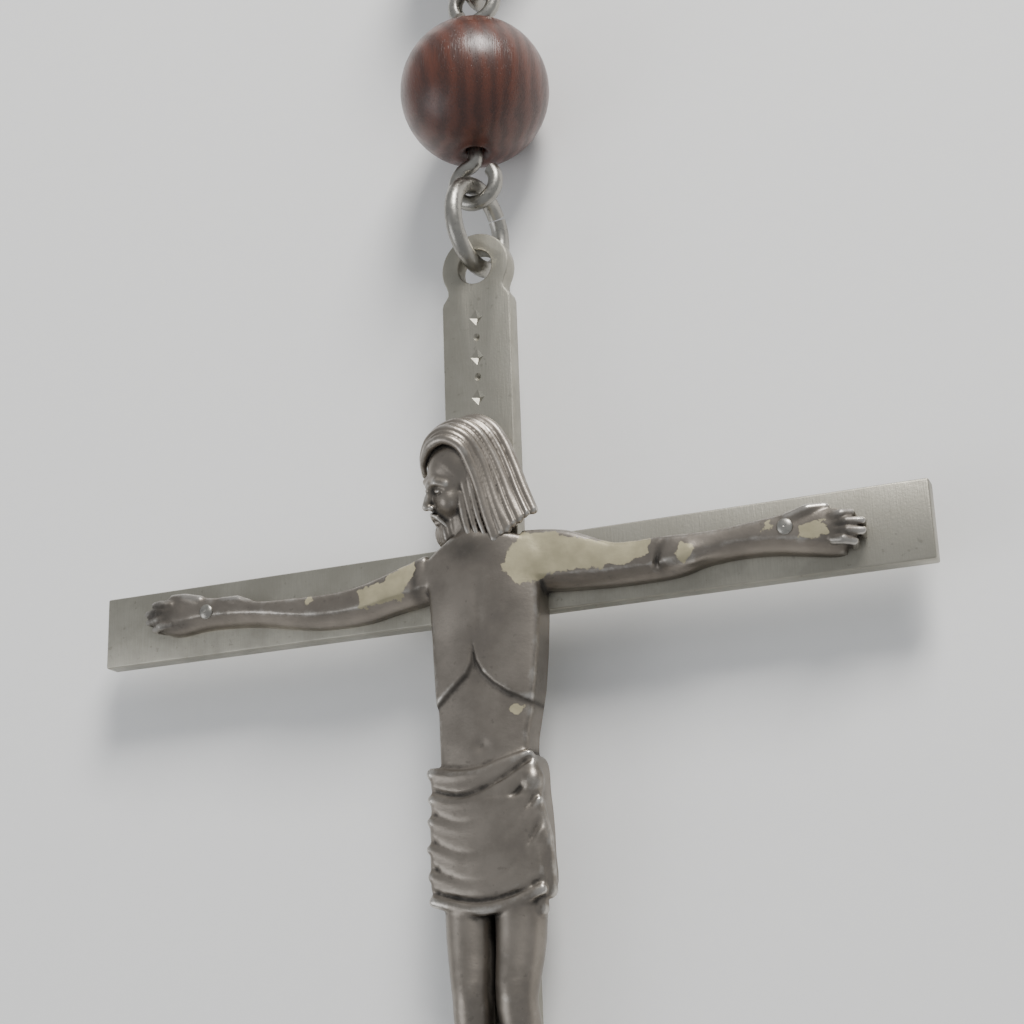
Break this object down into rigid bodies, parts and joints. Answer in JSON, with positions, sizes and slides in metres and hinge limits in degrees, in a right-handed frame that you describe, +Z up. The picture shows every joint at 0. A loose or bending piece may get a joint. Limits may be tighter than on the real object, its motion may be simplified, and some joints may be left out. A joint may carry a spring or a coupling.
{
  "type": "rosary",
  "caption": "Rosary with round dark wooden beads on wire pins, an oval centre medal and a riveted metal crucifix, laid flat with its loop open.",
  "frame": {"origin": "centre of the outer box, on the surface that the beads lie on", "axes": "+Z up from the table and out of the crucifix's face, +Y from the crucifix towards the centre medal"},
  "size_m": [0.2402, 0.2392, 0.007],
  "materials": {
    "nickel_silver": "satin",
    "aged_casting": "satin",
    "wire": "polished",
    "dark_wood": "satin"
  },
  "bodies": {
    "centre_medal": {"centre_medal": "nickel_silver"},
    "decade_1_first": {"decade_1_first_beads": "dark_wood", "decade_1_first_wires": "wire"},
    "decade_1_middle": {"decade_1_middle_beads": "dark_wood", "decade_1_middle_wires": "wire"},
    "decade_1_last": {"decade_1_last_beads": "dark_wood", "decade_1_last_wires": "wire"},
    "our_father_1": {"our_father_bead_1": "dark_wood", "our_father_wires_1": "wire"},
    "decade_2_first": {"decade_2_first_beads": "dark_wood", "decade_2_first_wires": "wire"},
    "decade_2_middle": {"decade_2_middle_beads": "dark_wood", "decade_2_middle_wires": "wire"},
    "decade_2_last": {"decade_2_last_beads": "dark_wood", "decade_2_last_wires": "wire"},
    "our_father_2": {"our_father_bead_2": "dark_wood", "our_father_wires_2": "wire"},
    "decade_3_first": {"decade_3_first_beads": "dark_wood", "decade_3_first_wires": "wire"},
    "decade_5_last": {"decade_5_last_beads": "dark_wood", "decade_5_last_wires": "wire"},
    "decade_5_middle": {"decade_5_middle_beads": "dark_wood", "decade_5_middle_wires": "wire"},
    "decade_5_first": {"decade_5_first_beads": "dark_wood", "decade_5_first_wires": "wire"},
    "our_father_4": {"our_father_bead_4": "dark_wood", "our_father_wires_4": "wire"},
    "decade_4_last": {"decade_4_last_beads": "dark_wood", "decade_4_last_wires": "wire"},
    "decade_4_middle": {"decade_4_middle_beads": "dark_wood", "decade_4_middle_wires": "wire"},
    "decade_4_first": {"decade_4_first_beads": "dark_wood", "decade_4_first_wires": "wire"},
    "our_father_3": {"our_father_bead_3": "dark_wood", "our_father_wires_3": "wire"},
    "decade_3_last": {"decade_3_last_beads": "dark_wood", "decade_3_last_wires": "wire"},
    "decade_3_middle": {"decade_3_middle_beads": "dark_wood", "decade_3_middle_wires": "wire"},
    "pendant_link_1": {"pendant_link_1": "wire"},
    "pendant_pin_1": {"pendant_pin_1": "wire"},
    "pendant_bead_1": {"pendant_bead_1": "dark_wood"},
    "pendant_link_2": {"pendant_link_2": "wire"},
    "pendant_pin_2": {"pendant_pin_2": "wire"},
    "pendant_bead_2": {"pendant_bead_2": "dark_wood"},
    "pendant_link_3": {"pendant_link_3": "wire"},
    "pendant_pin_3": {"pendant_pin_3": "wire"},
    "pendant_bead_3": {"pendant_bead_3": "dark_wood"},
    "pendant_link_4": {"pendant_link_4": "wire"},
    "pendant_pin_4": {"pendant_pin_4": "wire"},
    "pendant_bead_4": {"pendant_bead_4": "dark_wood"},
    "pendant_link_5": {"pendant_link_5": "wire"},
    "pendant_pin_5": {"pendant_pin_5": "wire"},
    "pendant_bead_5": {"pendant_bead_5": "dark_wood"},
    "crucifix_ring": {"crucifix_ring": "wire"},
    "crucifix": {"cross_plate": "nickel_silver", "corpus": "aged_casting", "left_hand_rivet": "nickel_silver", "right_hand_rivet": "nickel_silver", "foot_rivet": "nickel_silver"}
  },
  "joints": [
    {"name": "decade_1_first_lift", "type": "hinge", "parent": "centre_medal", "child": "decade_1_first", "pos_m": [-0.00599, 0.11706, 0.0027], "axis": [-0.1182, 0.993, 0], "range_deg": [-25, 25]},
    {"name": "decade_1_middle_lift", "type": "hinge", "parent": "decade_1_first", "child": "decade_1_middle", "pos_m": [-0.04427, 0.10838, 0.0035], "axis": [0.3315, -0.9435, 0], "range_deg": [-50, 50]},
    {"name": "decade_1_last_lift", "type": "hinge", "parent": "decade_1_middle", "child": "decade_1_last", "pos_m": [-0.08598, 0.07934, 0.0035], "axis": [-0.7008, 0.7133, 0], "range_deg": [-50, 50]},
    {"name": "our_father_1_lift", "type": "hinge", "parent": "decade_1_last", "child": "our_father_1", "pos_m": [-0.1069, 0.04732, 0.0035], "axis": [0.8937, -0.4486, 0], "range_deg": [-50, 50]},
    {"name": "decade_2_first_lift", "type": "hinge", "parent": "our_father_1", "child": "decade_2_first", "pos_m": [-0.11238, 0.03207, 0.0035], "axis": [-0.9472, 0.3206, 0], "range_deg": [-50, 50]},
    {"name": "decade_2_middle_lift", "type": "hinge", "parent": "decade_2_first", "child": "decade_2_middle", "pos_m": [-0.11638, -0.00934, 0.0035], "axis": [0.9995, 0.0318, 0], "range_deg": [-50, 50]},
    {"name": "decade_2_last_lift", "type": "hinge", "parent": "decade_2_middle", "child": "decade_2_last", "pos_m": [-0.10125, -0.05786, 0.0035], "axis": [-0.8913, -0.4534, 0], "range_deg": [-50, 50]},
    {"name": "our_father_2_lift", "type": "hinge", "parent": "decade_2_last", "child": "our_father_2", "pos_m": [-0.07702, -0.08745, 0.0035], "axis": [0.697, 0.7171, 0], "range_deg": [-50, 50]},
    {"name": "decade_3_first_lift", "type": "hinge", "parent": "our_father_2", "child": "decade_3_first", "pos_m": [-0.06413, -0.09727, 0.0035], "axis": [-0.5911, -0.8066, 0], "range_deg": [-50, 50]},
    {"name": "decade_5_last_lift", "type": "hinge", "parent": "centre_medal", "child": "decade_5_last", "pos_m": [0.00599, 0.11706, 0.0027], "axis": [-1, 0, 0], "range_deg": [-25, 25]},
    {"name": "decade_5_middle_lift", "type": "hinge", "parent": "decade_5_last", "child": "decade_5_middle", "pos_m": [0.04427, 0.10838, 0.0035], "axis": [0.3315, 0.9435, 0], "range_deg": [-50, 50]},
    {"name": "decade_5_first_lift", "type": "hinge", "parent": "decade_5_middle", "child": "decade_5_first", "pos_m": [0.08598, 0.07934, 0.0035], "axis": [-0.7008, -0.7133, 0], "range_deg": [-50, 50]},
    {"name": "our_father_4_lift", "type": "hinge", "parent": "decade_5_first", "child": "our_father_4", "pos_m": [0.1069, 0.04732, 0.0035], "axis": [0.8937, 0.4486, 0], "range_deg": [-50, 50]},
    {"name": "decade_4_last_lift", "type": "hinge", "parent": "our_father_4", "child": "decade_4_last", "pos_m": [0.11238, 0.03207, 0.0035], "axis": [-0.9472, -0.3206, 0], "range_deg": [-50, 50]},
    {"name": "decade_4_middle_lift", "type": "hinge", "parent": "decade_4_last", "child": "decade_4_middle", "pos_m": [0.11638, -0.00934, 0.0035], "axis": [0.9995, -0.0318, 0], "range_deg": [-50, 50]},
    {"name": "decade_4_first_lift", "type": "hinge", "parent": "decade_4_middle", "child": "decade_4_first", "pos_m": [0.10125, -0.05786, 0.0035], "axis": [-0.8913, 0.4534, 0], "range_deg": [-50, 50]},
    {"name": "our_father_3_lift", "type": "hinge", "parent": "decade_4_first", "child": "our_father_3", "pos_m": [0.07702, -0.08745, 0.0035], "axis": [0.697, -0.7171, 0], "range_deg": [-50, 50]},
    {"name": "decade_3_last_lift", "type": "hinge", "parent": "our_father_3", "child": "decade_3_last", "pos_m": [0.06413, -0.09727, 0.0035], "axis": [-0.5911, 0.8066, 0], "range_deg": [-50, 50]},
    {"name": "decade_3_middle_lift", "type": "hinge", "parent": "decade_3_last", "child": "decade_3_middle", "pos_m": [0.02585, -0.11356, 0.0035], "axis": [0.2708, -0.9626, 0], "range_deg": [-50, 50]},
    {"name": "pendant_link_1_lift", "type": "hinge", "parent": "centre_medal", "child": "pendant_link_1", "pos_m": [0, 0.10089, 0.0027], "axis": [-1, 0, 0], "range_deg": [-25, 25]},
    {"name": "pendant_pin_1_swing", "type": "hinge", "parent": "pendant_link_1", "child": "pendant_pin_1", "pos_m": [0, 0.09795, 0.0035], "axis": [0, 0, 1], "range_deg": [-30, 30]},
    {"name": "pendant_bead_1_spin", "type": "hinge", "parent": "pendant_pin_1", "child": "pendant_bead_1", "pos_m": [0, 0.09304, 0.0035], "axis": [0, 1, 0], "continuous": true},
    {"name": "pendant_link_2_lift", "type": "hinge", "parent": "pendant_pin_1", "child": "pendant_link_2", "pos_m": [0, 0.08709, 0.0035], "axis": [1, 0, 0], "range_deg": [-50, 50]},
    {"name": "pendant_pin_2_swing", "type": "hinge", "parent": "pendant_link_2", "child": "pendant_pin_2", "pos_m": [0, 0.08539, 0.0035], "axis": [0, 0, -1], "range_deg": [-35, 35]},
    {"name": "pendant_bead_2_spin", "type": "hinge", "parent": "pendant_pin_2", "child": "pendant_bead_2", "pos_m": [0, 0.08024, 0.0035], "axis": [0, 1, 0], "continuous": true},
    {"name": "pendant_link_3_lift", "type": "hinge", "parent": "pendant_pin_2", "child": "pendant_link_3", "pos_m": [0, 0.07429, 0.0035], "axis": [-1, 0, 0], "range_deg": [-50, 50]},
    {"name": "pendant_pin_3_swing", "type": "hinge", "parent": "pendant_link_3", "child": "pendant_pin_3", "pos_m": [0, 0.07259, 0.0035], "axis": [0, 0, 1], "range_deg": [-40, 40]},
    {"name": "pendant_bead_3_spin", "type": "hinge", "parent": "pendant_pin_3", "child": "pendant_bead_3", "pos_m": [0, 0.06744, 0.0035], "axis": [0, 1, 0], "continuous": true},
    {"name": "pendant_link_4_lift", "type": "hinge", "parent": "pendant_pin_3", "child": "pendant_link_4", "pos_m": [0, 0.06149, 0.0035], "axis": [1, 0, 0], "range_deg": [-50, 50]},
    {"name": "pendant_pin_4_swing", "type": "hinge", "parent": "pendant_link_4", "child": "pendant_pin_4", "pos_m": [0, 0.05979, 0.0035], "axis": [0, 0, -1], "range_deg": [-45, 45]},
    {"name": "pendant_bead_4_spin", "type": "hinge", "parent": "pendant_pin_4", "child": "pendant_bead_4", "pos_m": [0, 0.05464, 0.0035], "axis": [0, 1, 0], "continuous": true},
    {"name": "pendant_link_5_lift", "type": "hinge", "parent": "pendant_pin_4", "child": "pendant_link_5", "pos_m": [0, 0.04869, 0.0035], "axis": [-1, 0, 0], "range_deg": [-50, 50]},
    {"name": "pendant_pin_5_swing", "type": "hinge", "parent": "pendant_link_5", "child": "pendant_pin_5", "pos_m": [0, 0.04699, 0.0035], "axis": [0, 0, 1], "range_deg": [-50, 50]},
    {"name": "pendant_bead_5_spin", "type": "hinge", "parent": "pendant_pin_5", "child": "pendant_bead_5", "pos_m": [0, 0.04184, 0.0035], "axis": [0, 1, 0], "continuous": true},
    {"name": "crucifix_ring_lift", "type": "hinge", "parent": "pendant_pin_5", "child": "crucifix_ring", "pos_m": [0, 0.03589, 0.0035], "axis": [1, 0, 0], "range_deg": [-40, 40]},
    {"name": "crucifix_lift", "type": "hinge", "parent": "crucifix_ring", "child": "crucifix", "pos_m": [0, 0.03378, 0.0033], "axis": [-1, 0, 0], "range_deg": [-45, 45]}
  ]
}
